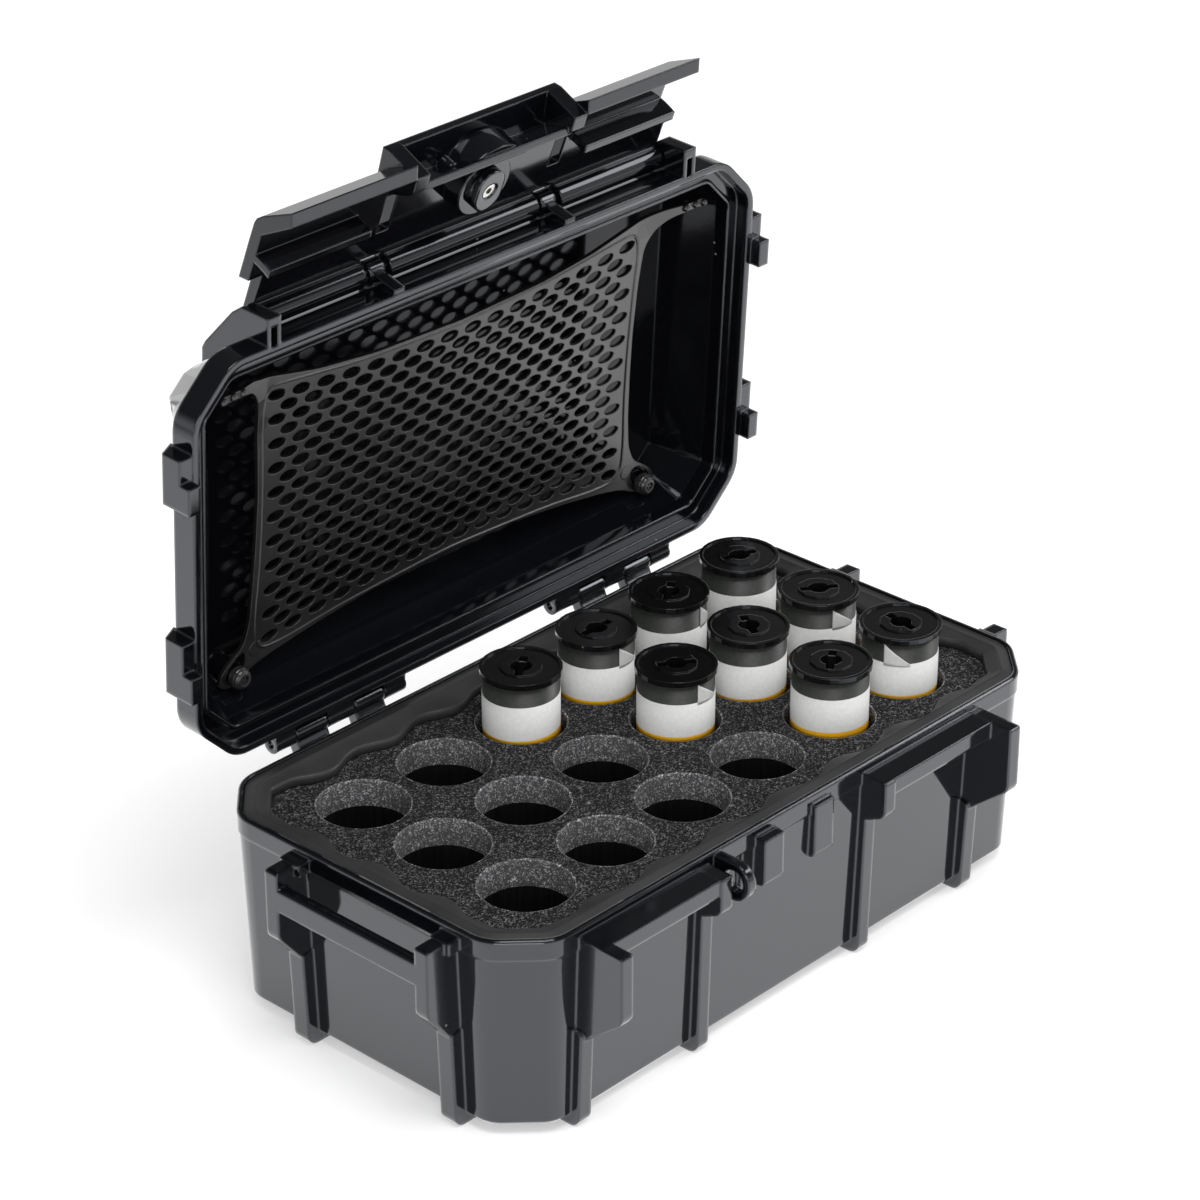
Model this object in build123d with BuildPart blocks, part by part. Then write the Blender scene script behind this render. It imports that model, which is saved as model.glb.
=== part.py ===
from build123d import *
import math
import os

# A hinged hard case for roll film: a tub with a rubber liner and a foam block,
# a lid with a net pad, and one long latch with a lock across the front.
# Lengths are millimetres. X runs along the case, -Y is the latch side and +Y the
# hinge side, Z is up. The origin is the middle of the plane that the feet stand on.

# Outline of the rim, shared by the tub, the liner, the foam and the lid.
rim_x = 117.2
rim_y = 64.2
corner_leg = 14.8
corner_round = 12.0
corner_slip = 2 - math.sqrt(2)
draft = 2.0

# Heights of the tub.
foot_height = 2.0
floor_thick = 3.0
foam_top = 61.0
band_low = 59.1
band_top = 65.5
body_step = 0.5
wall = 2.8
bead_width = 1.7
bead_edge = 0.6
belly_edge = 2.2

# Rubber liner.
liner_gap = 0.15
liner_wall = 2.6
liner_floor = 2.0
flange_low = 62.0
flange_top = 65.1
lip_gap = 0.2
scallop = 26.3
scallop_depth = 1.9
lip_x = 107.6
lip_front = 55.4
lip_back = 51.8

# Foam block and film rolls.
pitch_x = 33.0
pitch_y = 32.7
columns = 6
rows = 3
socket_r = 13.8
face_thick = 9.0
roll_bottom = 15.2
roll_length = 65.0
flange_r = 12.6
flange_thick = 1.8
ring_width = 1.1
ring_sink = 0.5
paper_r = 11.7
paper_gap = 0.1
core_r = 5.2
bore_r = 3.4
slot_reach = 6.0
slot_width = 2.6
bore_deep = 12.0
socket_sides = 20
spool_sides = 28
hidden_sides = 10
filled = [(2, 1), (3, 1), (4, 1), (5, 1), (3, 0), (4, 0), (5, 0), (4, -1), (5, -1)]
slot_turns = [35, 0, 35, -20, -35, 60, -35, 35, 80]

# Ribs and ears on the outside of the tub.
low_rib_front = 66.0
low_rib_side = 120.0
foot_reach = 12.0
rib_width = 5.0
ear_front = 80.2
ear_side = 128.3
ear_top = 62.7
ear_belly = 41.5
ear_root = 29.5
ear_round = 4.5
ear_wide = 4.6
foot_round = 3.6
ledge_y = 72.7
ledge_top = 63.0
ledge_low = 57.1
stub_y = 73.2
stub_low = 51.0
shelf_x = 121.5
shelf_low = 59.2
shelf_top = 63.4
left_ear = -94.4
right_ear = 77.2
inner_left = -45.4
inner_right = 27.0
tab_wide = 8.3
tab_y = 67.8
strap_top = 57.5
strap_low = 49.5
strap_thick = 4.2
eye_y = 71.5
eye_z = 58.5
eye_r = 6.0
eye_hole_r = 3.6
pocket_deep = 1.5
pocket_wide = 17.0
pocket_high = 11.5
eye_start = -38.6
eye_thick = 3.0
ear_north = 20.6
ear_south = -39.2

# Hinge.
hinge_y = 67.9
hinge_z = 68.3
barrel_r = 2.9
pin_r = 1.2
pin_gap = 0.06
base_barrels = [(-77.8, -65.5), (-54.0, -42.2), (44.0, 55.5), (65.0, 76.5)]
lid_barrels = [(-86.0, -78.2), (-65.1, -54.4), (-41.8, -33.0), (33.0, 43.6), (55.9, 64.6), (76.9, 86.0)]
lid_open = 87.0

# Lid, drawn shut and then swung open about the hinge.
mate = 65.7
side_band = 8.5
lid_depth = 27.5
slope_in = 15.0
lid_wall = 3.0
rim_flat = 2.4
rim_step = 4.5
ledge_in = 7.8
lip_thick = 1.0
lip_high = 0.9
bracket_out = 8.7
bracket_thick = 5.0
bracket_left = -89.1
bracket_right = 83.3
gusset_starts = [-39.8, 31.2]
gusset_thick = 4.0
knuckle_r = 3.6

# Latch, turning on a steel pin that the lid carries.
latch_out = 3.0
latch_up = 12.6
latch_pin_r = 1.2
latch_barrel_r = 4.1
latch_left = -89.0
latch_right = 76.6
barrel_left = -83.6
barrel_right = 82.9
hook_r = 22.1
hook_thick = 2.6
lock_along = 23.3
lock_x = -4.5
lock_r = 10.2
plug_r = 5.6
cam_low = 5.6
cam_thick = 2.2
cam_length = 14.4
cam_width = 10.6
arch_r = 15.6

# Net pad in the lid.
net_depth = 15.6
net_thick = 1.4
net_tilt = 5.6
screw_x = 88.0
screw_y = 49.0
head_r = 3.5
head_low = -2.6
head_high = 2.0
shank_r = 1.5

latch_y = -rim_y - latch_out
latch_z = mate + latch_up
hinge_line = Axis((0, hinge_y, hinge_z), (1, 0, 0))


# A rectangle with cut and rounded corners, drawn inside the rim by a given inset.
def rim_shape(inset):
    with BuildSketch() as shape:
        Rectangle(2 * (rim_x - inset), 2 * (rim_y - inset))
        chamfer(shape.vertices(), corner_leg - inset * corner_slip)
        fillet(shape.vertices(), max(corner_round - inset, 3.0))
    return shape.sketch


# How far inside the rim the drafted wall of the tub has come at a height.
def inset_at(height, gap):
    return body_step + (band_low - height) * math.tan(math.radians(draft)) + gap


# A block between two heights whose sides lean in towards the floor.
def tapered(top, bottom, gap):
    with BuildPart() as block:
        with BuildSketch(Plane.XY.offset(top)):
            add(rim_shape(inset_at(top, gap)))
        extrude(amount=bottom - top, taper=draft)
    return block.part


# A plate cut to a side profile, given as (y, z) points, standing between two x values;
# rounds gives one corner radius for each point.
def plate_x(points, start, end, rounds=0.0):
    with BuildPart() as plate:
        with BuildSketch(Plane.YZ.offset(start)):
            with BuildLine():
                FilletPolyline(*points, radius=rounds, close=True)
            make_face()
        extrude(amount=end - start)
    return plate.part


# The same for a profile of (x, z) points, standing between two y values.
def plate_y(points, start, end, rounds=0.0):
    with BuildPart() as plate:
        with BuildSketch(Plane.XZ.offset(-end)):
            with BuildLine():
                FilletPolyline(*points, radius=rounds, close=True)
            make_face()
        extrude(amount=end - start)
    return plate.part


# A round bar along x.
def bar_x(y, z, radius, start, end):
    with BuildPart() as bar:
        with BuildSketch(Plane.YZ.offset(start)):
            with Locations((y, z)):
                Circle(radius)
        extrude(amount=end - start)
    return bar.part


# The bore for a pin along x, with flats that just clear the pin.
def bore_x(y, z, radius, start, end):
    with BuildPart() as bore:
        with BuildSketch(Plane.YZ.offset(start)):
            with Locations((y, z)):
                RegularPolygon(radius, hidden_sides, major_radius=False)
        extrude(amount=end - start)
    return bore.part


def finish(part, label):
    part.label = label
    export_step(part, "parts/" + label + ".step")


os.makedirs("parts", exist_ok=True)

# Tub: a drafted box with a polished band round its top.
floor_top = foot_height + floor_thick


# The rib that runs down a wall and wraps under it as a foot; reach is the wall's own
# distance from the middle, out is how far the rib stands from the middle and top its height.
def low_rib(reach, out, top):
    return [
        (reach - 1.9, top + 1.0),
        (out, top),
        (out - 1.3, 0),
        (out - foot_reach - 3.0, 0),
        (out - foot_reach - 3.0, foot_height + 1.0),
        (reach - 4.2, foot_height + 1.5),
    ]


# An ear: flat top under the rim, a flat outer face and a belly that slopes back to the wall.
def ear(reach, out):
    return [
        (reach - 1.6, ear_top),
        (out, ear_top - 0.4),
        (out, ear_belly - 0.5),
        (reach + 1.6, ear_root),
        (reach - 1.9, ear_root - 1.0),
    ]


rib_rounds = [0, 0, foot_round, 0, 0, 0]
ear_rounds = [0, 0.8, ear_round, 2.0, 0]


def flip(points):
    return [(-a, b) for a, b in points]


with BuildPart() as base:
    add(tapered(band_low, foot_height, 0))
    chamfer(base.edges().group_by(Axis.Z)[0], belly_edge)
    with BuildSketch(Plane.XY.offset(band_low)):
        add(rim_shape(0))
    extrude(amount=band_top - band_low)
    chamfer(base.edges().group_by(Axis.Z)[-1], bead_edge)
    add(tapered(band_top, floor_top, wall), mode=Mode.SUBTRACT)
    with BuildSketch(Plane.XY.offset(flange_low)):
        add(rim_shape(bead_width))
    extrude(amount=band_top - flange_low, mode=Mode.SUBTRACT)
    # The pocket in the wall beside the padlock eye.
    with BuildSketch(Plane.XZ.offset(rim_y)):
        with Locations((eye_start + pocket_wide / 4, band_low - pocket_high / 2)):
            RectangleRounded(pocket_wide, pocket_high, 0.8)
    extrude(amount=-pocket_deep - inset_at(band_low, 0), mode=Mode.SUBTRACT)
    # Front: two tall ears, two short ears, the ledges that the latch hooks under and two tabs.
    for start in (left_ear, right_ear):
        add(plate_x(flip(ear(rim_y, ear_front)), start, start + ear_wide, ear_rounds))
        add(plate_x(flip(low_rib(rim_y, low_rib_front, ear_root + 2)), start - 1.0, start + ear_wide - 0.6, rib_rounds))
    for start in (inner_left, inner_right):
        stub = [(rim_y - 1.6, ear_top), (stub_y, ear_top - 0.4), (stub_y, stub_low), (rim_y - 1.6, stub_low - 5)]
        add(plate_x(flip(stub), start, start + ear_wide, [0, 0.6, 3.0, 0]))
        add(plate_x(flip(low_rib(rim_y, low_rib_front, stub_low - 1)), start, start + ear_wide, rib_rounds))
    ledge = [(rim_y - 1.4, ledge_top), (ledge_y, ledge_top - 0.5), (ledge_y, ledge_low), (rim_y - 1.7, ledge_low - 0.8)]
    add(plate_x(flip(ledge), left_ear, inner_left))
    add(plate_x(flip(ledge), inner_right, right_ear))
    for start, out, low in ((-20.6, tab_y, 46.0), (4.0, tab_y - 2, 44.0)):
        tab = [(rim_y - 1.4, ear_top), (out, ear_top - 0.8), (out, low + 1), (rim_y - 2.2, low)]
        add(plate_x(flip(tab), start, start + tab_wide, [0, 0, 1.6, 0]))
    # The eye that takes a small padlock.
    with BuildSketch(Plane.YZ.offset(eye_start)):
        with Locations((-eye_y, eye_z)):
            Circle(eye_r)
        with Locations(((-eye_y - rim_y + wall) / 2, eye_z)):
            Rectangle(eye_y - rim_y + wall, 2 * eye_r)
        with Locations((-eye_y, eye_z)):
            Circle(eye_hole_r, mode=Mode.SUBTRACT)
    extrude(amount=eye_thick)
    # Sides: two ears joined by a bar for a strap.
    for side in (-1, 1):
        for start in (ear_south, ear_north):
            side_ear = [(side * a, b) for a, b in ear(rim_x, ear_side)]
            side_rib = [(side * a, b) for a, b in low_rib(rim_x, low_rib_side, ear_root + 2)]
            add(plate_y(side_ear, start, start + ear_wide + 0.3, ear_rounds))
            add(plate_y(side_rib, start - 0.5, start + ear_wide + 0.8, rib_rounds))
        for start, end in ((ear_south - 1.7, ear_south + 5.5), (ear_north - 2.0, ear_north + 5.9)):
            shelf = [(rim_x - 1.6, shelf_top), (shelf_x, shelf_top - 0.5), (shelf_x, shelf_low), (rim_x - 1.6, shelf_low)]
            add(plate_y([(side * a, b) for a, b in shelf], start, end))
        strap_mid = side * (ear_side - strap_thick / 2)
        with BuildSketch(Plane.XZ.offset(-ear_north - 1)):
            with Locations((strap_mid, (strap_top + strap_low) / 2)):
                RectangleRounded(strap_thick, strap_top - strap_low, 1.2)
        extrude(amount=ear_north - ear_south - 2)
    # Back: ribs below the hinge, and the barrels of the hinge on their own brackets.
    for start, end in base_barrels:
        middle = (start + end) / 2
        rib = low_rib(rim_y, low_rib_front, ear_root + 20)
        add(plate_x(rib, middle - rib_width / 2, middle + rib_width / 2, rib_rounds))
        bracket = [(62.6, 64.8), (64.6, 64.9), (hinge_y - 2.3, hinge_z - 1.2), (hinge_y + 1.8, hinge_z - 1.8), (64.6, 56.0), (62.6, 56.0)]
        add(plate_x(bracket, start, end))
        add(bar_x(hinge_y, hinge_z, barrel_r, start, end))
        add(bore_x(hinge_y, hinge_z, pin_r + pin_gap, start - 1, end + 1), mode=Mode.SUBTRACT)
finish(base.part, "base_shell")

# Two plain steel pins, one through each group of hinge barrels.
pin_ends = [(lid_barrels[0][0] + 1, lid_barrels[2][1] - 1), (lid_barrels[3][0] + 1, lid_barrels[5][1] - 1)]
for label, (start, end) in zip(("hinge_pin_left", "hinge_pin_right"), pin_ends):
    with BuildPart() as hinge_pin:
        add(bar_x(hinge_y, hinge_z, pin_r, start, end))
    finish(hinge_pin.part, label)


# The scalloped opening of the liner: waves along the four sides, plain cut corners.
def scallops(shrink):
    half_x = lip_x - shrink
    points = []
    steps = 4
    run_x = 3.5 * scallop
    run_y = 1.5 * scallop
    for i in range(7 * steps + 1):
        x = -run_x + i * scallop / steps
        points.append((x, -lip_front + shrink + scallop_depth * math.cos(2 * math.pi * x / scallop)))
    for i in range(3 * steps + 1):
        y = -run_y + i * scallop / steps
        points.append((half_x - scallop_depth * math.cos(2 * math.pi * y / scallop), y))
    for i in range(7 * steps + 1):
        x = run_x - i * scallop / steps
        points.append((x, lip_back - shrink - scallop_depth * math.cos(2 * math.pi * x / scallop)))
    for i in range(3 * steps + 1):
        y = run_y - i * scallop / steps
        points.append((-half_x + scallop_depth * math.cos(2 * math.pi * y / scallop), y))
    return points


# Liner: a rubber tub with a flange that seals the rim and a scalloped lip over the foam.
lip_low = foam_top + lip_gap
liner_out = wall + liner_gap
liner_in = liner_out + liner_wall
with BuildPart() as liner:
    add(tapered(flange_low + liner_gap, floor_top + liner_gap, liner_out))
    with BuildSketch(Plane.XY.offset(flange_low + liner_gap)):
        add(rim_shape(bead_width + liner_gap))
    extrude(amount=flange_top - flange_low - liner_gap)
    add(tapered(lip_low, floor_top + liner_floor, liner_in), mode=Mode.SUBTRACT)
    with BuildSketch(Plane.XY.offset(lip_low - 1)):
        Polygon(*scallops(0), align=None)
    extrude(amount=flange_top - lip_low + 2, mode=Mode.SUBTRACT)
finish(liner.part, "rubber_liner")

# Foam: a solid floor, a dark core and a speckled face, bored for three rows of six rolls.
foam_gap = liner_in + 0.3
foam_floor_low = floor_top + liner_floor + liner_gap
core_top = foam_top - face_thick
with BuildPart() as foam_floor:
    add(tapered(roll_bottom - 0.1, foam_floor_low, foam_gap))
finish(foam_floor.part, "foam_floor")
row_lines = [(row - (rows - 1) / 2) * pitch_y for row in range(rows)]


# A bored layer of the foam, glued up from strips that meet on the middle lines of the rows.
def bored_foam(top, bottom):
    with BuildPart() as layer:
        add(tapered(top, bottom, foam_gap))
        with BuildSketch(Plane.XY.offset(bottom)):
            with GridLocations(pitch_x, pitch_y, columns, rows):
                RegularPolygon(socket_r, socket_sides, major_radius=False)
        extrude(amount=top - bottom, mode=Mode.SUBTRACT)
        for y in row_lines:
            split(bisect_by=Plane.XZ.offset(-y), keep=Keep.BOTH)
    return layer.part


finish(bored_foam(core_top - 0.1, roll_bottom), "foam_core")
finish(bored_foam(foam_top, core_top), "foam_face")

# Film rolls: a plastic spool with two flanges, and paper and film wound between them.
def spool(turn):
    low = roll_bottom + 0.1
    high = roll_bottom + roll_length
    with BuildPart() as body:
        with BuildSketch(Plane.XY.offset(low)):
            RegularPolygon(core_r, hidden_sides)
        extrude(amount=high - low)
        with BuildSketch(Plane.XY.offset(low)):
            RegularPolygon(flange_r, hidden_sides)
        extrude(amount=flange_thick)
        with BuildSketch(Plane.XY.offset(high - flange_thick)):
            RegularPolygon(flange_r, spool_sides)
        extrude(amount=flange_thick)
        with BuildSketch(Plane.XY.offset(high - ring_sink)):
            RegularPolygon(flange_r - ring_width, spool_sides)
            RegularPolygon(core_r + 1.4, hidden_sides, mode=Mode.SUBTRACT)
        extrude(amount=ring_sink, mode=Mode.SUBTRACT)
        with BuildSketch(Plane.XY.offset(high - bore_deep)):
            RegularPolygon(bore_r, hidden_sides)
            Rectangle(2 * slot_reach, slot_width, rotation=turn)
        extrude(amount=bore_deep, mode=Mode.SUBTRACT)
    return body.part


with BuildPart() as paper:
    with BuildSketch(Plane.XY.offset(roll_bottom + flange_thick + 0.2)):
        RegularPolygon(paper_r, spool_sides)
        RegularPolygon(core_r + paper_gap, hidden_sides, mode=Mode.SUBTRACT)
    extrude(amount=roll_length - 2 * flange_thick - 0.3)
row_names = {1: "back", 0: "middle", -1: "front"}
for (column, row), turn in zip(filled, slot_turns):
    place = Location(((column - 2.5) * pitch_x, row * pitch_y, 0))
    name = row_names[row] + "_" + str(column + 1)
    finish(place * spool(turn), "spool_" + name)
    finish(place * paper.part, "film_" + name)

# Lid: a side band, slopes that lean in all round, and a flat top, hollow below.
def shut(d):
    return mate + d


def lid_points(points):
    return [(-rim_y - s, mate + d) for s, d in points]


lean = math.degrees(math.atan2(slope_in, lid_depth - side_band))
with BuildPart() as lid:
    with BuildSketch(Plane.XY.offset(mate)):
        add(rim_shape(0))
    extrude(amount=side_band)
    with BuildSketch(Plane.XY.offset(shut(side_band))):
        add(rim_shape(0.6))
    extrude(amount=lid_depth - side_band, taper=lean)
    # Inside: a stepped rim, then the hollow that follows the slopes.
    with BuildSketch(Plane.XY.offset(mate)):
        add(rim_shape(rim_flat))
    extrude(amount=rim_step, mode=Mode.SUBTRACT)
    with BuildSketch(Plane.XY.offset(shut(rim_step))):
        add(rim_shape(ledge_in))
    extrude(amount=side_band - rim_step, mode=Mode.SUBTRACT)
    with BuildSketch(Plane.XY.offset(shut(side_band))):
        add(rim_shape(ledge_in))
    extrude(amount=lid_depth - lid_wall - side_band, taper=lean - 12, mode=Mode.SUBTRACT)
    # A thin lip stands round the edge of the hollow.
    with BuildSketch(Plane.XY.offset(shut(rim_step - lip_high))):
        add(rim_shape(ledge_in - lip_thick))
        add(rim_shape(ledge_in), mode=Mode.SUBTRACT)
    extrude(amount=lip_high + 0.2)
    # A sill under the barrel of the latch.
    sill = [(-1.5, 6.5), (-1.5, 9.0), (-2.2, 12.6), (-3.0, 15.5), (-9.0, 18.5), (-9.0, 12.0)]
    add(plate_x(lid_points(sill), bracket_left, bracket_right + bracket_thick))
    # Brackets that hold the two ends of the latch pin, and two gussets between them.
    bracket = [
        (-1, 0),
        (bracket_out, 0),
        (bracket_out, 10.9),
        (bracket_out - 2.8, 14.6),
        (-7.2, 25.9),
        (-9.7, 27.3),
        (-slope_in, lid_depth - 0.1),
        (-slope_in, lid_depth - 2.5),
        (-1, 7),
    ]
    for start in (bracket_left, bracket_right):
        add(plate_x(lid_points(bracket), start, start + bracket_thick))
        slot = [(-0.5, -1), (5.6, -1), (5.6, 6), (-0.5, 6)]
        add(plate_x(lid_points(slot), start + 1.2, start + 3.8), mode=Mode.SUBTRACT)
    gusset = [(-1, 0.2), (1.6, 0.2), (3.4, 7.4), (4.6, 10.4), (4.6, 14.4), (2.5, 15.4), (-6, 15.4), (-1, 7)]
    for start in gusset_starts:
        add(plate_x(lid_points(gusset), start, start + gusset_thick))
        add(bar_x(latch_y, latch_z, knuckle_r, start - 1.0, start + gusset_thick + 1.0))
    pin_bore = bore_x(latch_y, latch_z, latch_pin_r + pin_gap, bracket_left + 1, bracket_right + bracket_thick - 1)
    add(pin_bore, mode=Mode.SUBTRACT)
    # Side tabs that reach past the rim beside the ears of the tub.
    for side in (-1, 1):
        for low, high in ((-40.2, -24.2), (18.8, 36.8)):
            pad = [(rim_x - 1, 0.3), (122.0, 0.3), (122.0, 7.5), (rim_x - 1, 10.5)]
            add(plate_y([(side * a, shut(b)) for a, b in pad], low, high))
            hook = [(rim_x + 0.5, -3.4), (122.0, -3.4), (122.0, 2), (rim_x + 0.5, 2)]
            add(plate_y([(side * a, shut(b)) for a, b in hook], high - 8.5, high))
    # Hinge blocks, and the bosses that the net is screwed to.
    for start, end in lid_barrels:
        block = [
            (rim_y - 1.6, mate + 0.2),
            (hinge_y - 2.6, mate + 0.2),
            (hinge_y + 1.6, hinge_z - 2.4),
            (hinge_y + barrel_r, hinge_z),
            (hinge_y + 1.6, hinge_z + 2.6),
            (rim_y - 1.6, hinge_z + 4.6),
        ]
        add(plate_x(block, start, end))
        add(bar_x(hinge_y, hinge_z, barrel_r, start, end))
        add(bore_x(hinge_y, hinge_z, pin_r + 0.01, start - 1, end + 1), mode=Mode.SUBTRACT)
    with BuildSketch(Plane.XY.offset(shut(net_depth + net_thick + 0.4))):
        with Locations((-screw_x, screw_y), (screw_x, screw_y)):
            Circle(4.0)
    extrude(until=Until.NEXT)
finish(lid.part.rotate(hinge_line, -lid_open), "lid_shell")

# Two screws that hold the lower corners of the net to the bosses.
with BuildPart() as screws:
    for radius, low, high in ((head_r, head_low, head_low + head_high), (shank_r, head_low + 1.6, net_thick + 0.4)):
        with BuildSketch(Plane.XY.offset(shut(net_depth + low))):
            with Locations((-screw_x, screw_y), (screw_x, screw_y)):
                RegularPolygon(radius, hidden_sides)
        extrude(amount=high - low)
    chamfer(screws.edges().group_by(Axis.Z)[0], 0.8)
finish(screws.part.rotate(hinge_line, -lid_open), "net_screws")

# Net: a soft plate with staggered openings, drawn in at its edges, held at four corners.
net_line = Axis((0, screw_y, shut(net_depth + net_thick / 2)), (1, 0, 0))
hole_pitch_x = 10.0
hole_pitch_y = 8.0
hole_long = 3.4
hole_short = 1.8
hole = [(-hole_long, 0), (0, -hole_short), (hole_long, 0), (0, hole_short)]
with BuildPart() as net:
    with BuildSketch(Plane.XY.offset(shut(net_depth))) as net_face:
        with BuildLine():
            ThreePointArc((-92.0, 52.6), (0, 39.5), (92.0, 52.6))
            ThreePointArc((92.0, 52.6), (87.0, 0), (97.0, -49.0))
            ThreePointArc((97.0, -49.0), (0, -38.5), (-97.0, -49.0))
            ThreePointArc((-97.0, -49.0), (-87.0, 0), (-92.0, 52.6))
        make_face()
        fillet(net_face.vertices(), 4.0)
        with Locations((-screw_x, screw_y), (screw_x, screw_y)):
            Circle(2.4, mode=Mode.SUBTRACT)
        with GridLocations(hole_pitch_x, hole_pitch_y, 17, 9):
            Polygon(*hole, align=None, mode=Mode.SUBTRACT)
        with GridLocations(hole_pitch_x, hole_pitch_y, 16, 8):
            Polygon(*hole, align=None, mode=Mode.SUBTRACT)
    extrude(amount=net_thick)
finish(net.part.rotate(net_line, net_tilt).rotate(hinge_line, -lid_open), "lid_net")

# Latch pin: one plain steel rod through the brackets, the gussets and the latch.
with BuildPart() as latch_pin:
    add(bar_x(latch_y, latch_z, latch_pin_r, bracket_left + 1.5, bracket_right + 3.5))
finish(latch_pin.part.rotate(hinge_line, -lid_open), "latch_pin")


# A plate of the latch, from points measured outward and upward from its pin.
def latch_plate(points, start, end):
    return plate_x([(latch_y - u, latch_z + v) for u, v in points], start, end)


def ring(radius, first, last, count):
    angles = [math.radians(first + (last - first) * i / count) for i in range(count + 1)]
    return [(radius * math.cos(a), radius * math.sin(a)) for a in angles]


arm = [
    (14.6, -0.7),
    (27.2, -5.0),
    (33.1, -7.1),
    (34.8, -8.3),
    (36.0, -10.2),
    (40.8, -22.1),
    (36.2, -22.0),
    (30.0, -9.8),
    (14.6, -4.6),
]
middle = [(14.6, -0.7), (24.0, -3.9), (30.0, -6.0), (30.0, -9.8), (14.6, -4.6)]
root = [(0.3, 4.1), (2.0, 3.6), (14.7, -0.7), (14.7, -4.6), (2.0, -0.3), (-2.0, 0)]
neck = [(5.2, 2.5), (14.7, -0.7), (14.7, -4.6), (5.2, -1.4)]
shelf = [(24.0, -3.9), (42.0, -8.2), (41.6, -10.7), (34.0, -9.6), (30.0, -9.8), (24.0, -7.8)]
floor = [(28.0, -6.0), (30.6, -8.6), (33.0, -19.4), (30.4, -19.2), (27.4, -8.6)]
cheek = [(28.0, -6.0), (42.0, -8.2), (41.6, -10.9), (36.4, -21.9), (32.0, -20.6), (30.2, -18.8), (27.6, -7.5)]
hook = ring(hook_r, -16.0, -35.0, 5) + ring(hook_r + hook_thick, -33.0, -16.0, 5)
handle_left = -41.0
handle_right = 28.6
cheek_wide = 5.4
lean_in = math.radians(18.9)
lock_axis = Plane(
    origin=(lock_x, latch_y - lock_along * math.cos(lean_in), latch_z - lock_along * math.sin(lean_in)),
    x_dir=(1, 0, 0),
    z_dir=(0, math.sin(lean_in), -math.cos(lean_in)),
)
with BuildPart() as latch:
    add(latch_plate(arm, latch_left, handle_left))
    add(latch_plate(arm, handle_right, latch_right))
    add(latch_plate(middle, handle_left - 1, handle_right + 1))
    for start, end in ((barrel_left, -43.0), (-33.0, 28.5), (38.0, barrel_right)):
        add(latch_plate(root, start, end))
        add(bar_x(latch_y, latch_z, latch_barrel_r, start, end))
    add(latch_plate(neck, -43.5, -32.5))
    add(latch_plate(neck, 28.0, 38.5))
    add(latch_plate(hook, latch_left, -50.0))
    add(latch_plate(hook, 37.7, latch_right))
    # The pull handle: an overhanging shelf, a set-back floor and a cheek at each end.
    add(latch_plate(shelf, handle_left, handle_right))
    add(latch_plate(floor, handle_left + cheek_wide - 1, handle_right - cheek_wide + 1))
    add(latch_plate(cheek, handle_left, handle_left + cheek_wide))
    add(latch_plate(cheek, handle_right - cheek_wide, handle_right))
    # Two slots in line with the padlock eye and the far gusset.
    slot = [(13.6, 2), (27.2, 0), (26.0, -12), (13.6, -12)]
    for start in (eye_start - 0.8, gusset_starts[1] - 0.2):
        add(latch_plate(slot, start, start + eye_thick + 1.6), mode=Mode.SUBTRACT)
    # The housing of the lock arches up through the floor of the handle.
    with BuildSketch(lock_axis.offset(-2.0)):
        Circle(arch_r)
        with Locations((0, -arch_r + 9.4)):
            Rectangle(2 * arch_r, 2 * arch_r, mode=Mode.SUBTRACT)
    extrude(amount=8.6)
    # The round housing of the lock, its bore, and a small tube boss beside it.
    with BuildSketch(lock_axis.offset(-4.4)):
        Circle(lock_r)
    extrude(amount=9.8)
    with BuildSketch(lock_axis.offset(-1.0)):
        with Locations((-14.5, 9.8)):
            Circle(2.3)
    extrude(amount=4.4)
    with BuildSketch(lock_axis.offset(-1.0)):
        with Locations((-14.5, 9.8)):
            Circle(1.2)
    extrude(amount=5, mode=Mode.SUBTRACT)
    with BuildSketch(lock_axis.offset(-6)):
        Circle(plug_r + pin_gap)
    extrude(amount=13, mode=Mode.SUBTRACT)
    add(bore_x(latch_y, latch_z, latch_pin_r + 0.08, latch_left - 1, barrel_right + 1), mode=Mode.SUBTRACT)
finish(latch.part.rotate(hinge_line, -lid_open), "latch")

# Lock: a round plug with a key slot, an oblong cam on its inner end, and the cam's screw.
with BuildPart() as plug:
    with BuildSketch(lock_axis.offset(-5.2)):
        Circle(plug_r)
    extrude(amount=5.2 + cam_low)
    with BuildSketch(lock_axis.offset(-5.2)):
        Rectangle(1.6, 6.0)
    extrude(amount=5.0, mode=Mode.SUBTRACT)
finish(plug.part.rotate(hinge_line, -lid_open), "lock_plug")
with BuildPart() as cam:
    with BuildSketch(lock_axis.offset(cam_low + 0.05)):
        SlotOverall(cam_length, cam_width, rotation=90)
        Circle(2.6, mode=Mode.SUBTRACT)
    extrude(amount=cam_thick)
finish(cam.part.rotate(hinge_line, -lid_open), "lock_cam")
with BuildPart() as cam_screw:
    with BuildSketch(lock_axis.offset(cam_low + 0.05)):
        Circle(2.5)
        RegularPolygon(1.2, 6, mode=Mode.SUBTRACT)
    extrude(amount=cam_thick - 0.4)
finish(cam_screw.part.rotate(hinge_line, -lid_open), "cam_screw")
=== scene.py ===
import math
import random

import bmesh
import bpy
from mathutils import Matrix, Vector


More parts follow.
